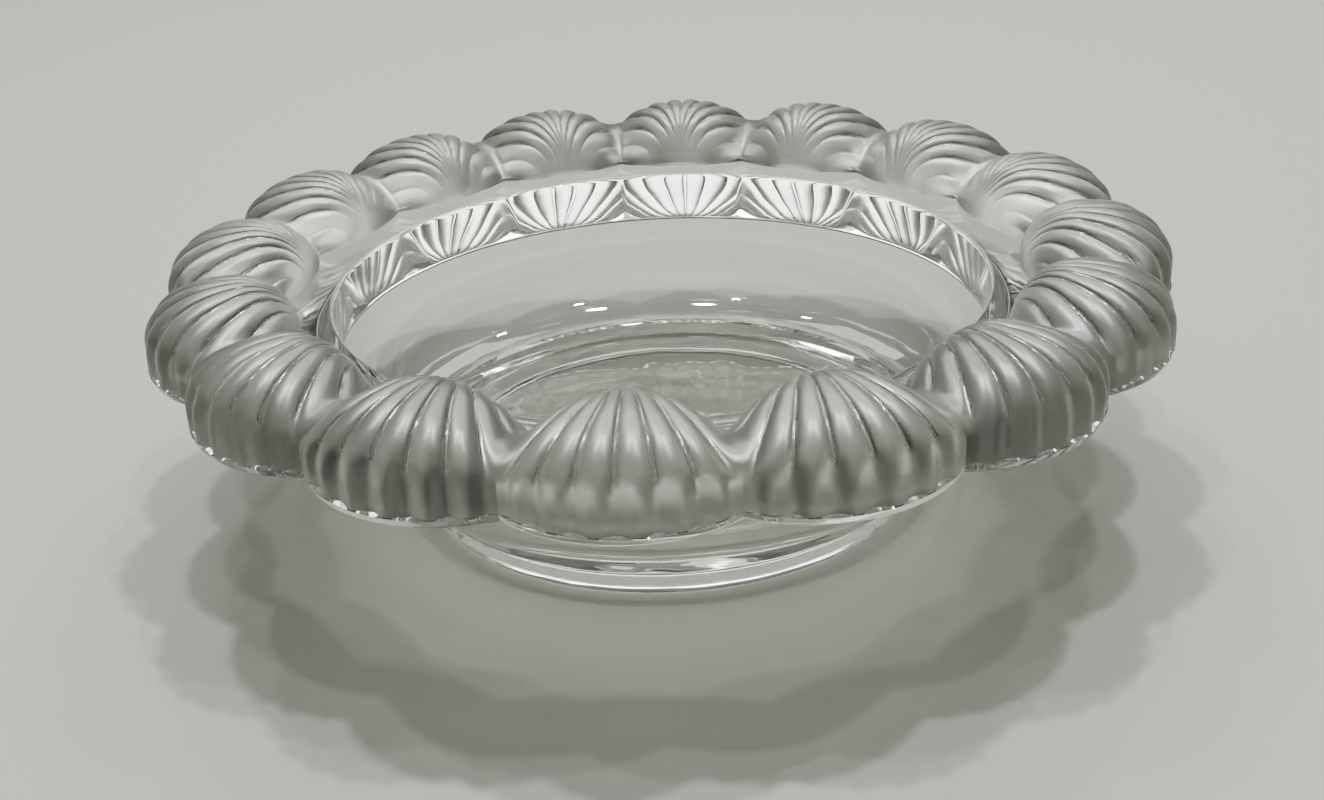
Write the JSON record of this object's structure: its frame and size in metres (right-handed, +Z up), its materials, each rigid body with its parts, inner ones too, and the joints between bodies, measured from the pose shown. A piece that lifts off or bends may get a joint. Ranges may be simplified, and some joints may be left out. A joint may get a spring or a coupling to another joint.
{
  "type": "footed glass bowl",
  "caption": "Low round footed bowl of clear pressed crystal, with a flat rim that carries a ring of satin-frosted cockle-shell domes.",
  "frame": {"origin": "centre of the foot's flat resting face", "axes": "+Z up along the bowl's axis, -Y towards shell 1, numbers of the shells rise towards +X"},
  "size_m": [0.3, 0.3, 0.0826],
  "materials": {
    "frosted_glass": "satin-etched",
    "clear_glass": "fire-polished"
  },
  "bodies": {
    "root": {"shell_01": "frosted_glass", "shell_02": "frosted_glass", "shell_03": "frosted_glass", "shell_04": "frosted_glass", "shell_05": "frosted_glass", "shell_06": "frosted_glass", "shell_07": "frosted_glass", "shell_08": "frosted_glass", "shell_09": "frosted_glass", "shell_10": "frosted_glass", "shell_11": "frosted_glass", "shell_12": "frosted_glass", "shell_13": "frosted_glass", "shell_14": "frosted_glass", "shell_15": "frosted_glass", "shell_16": "frosted_glass", "rim_plate": "clear_glass", "bowl_wall": "clear_glass", "bowl_floor": "clear_glass", "foot_ring": "clear_glass"}
  },
  "joints": []
}
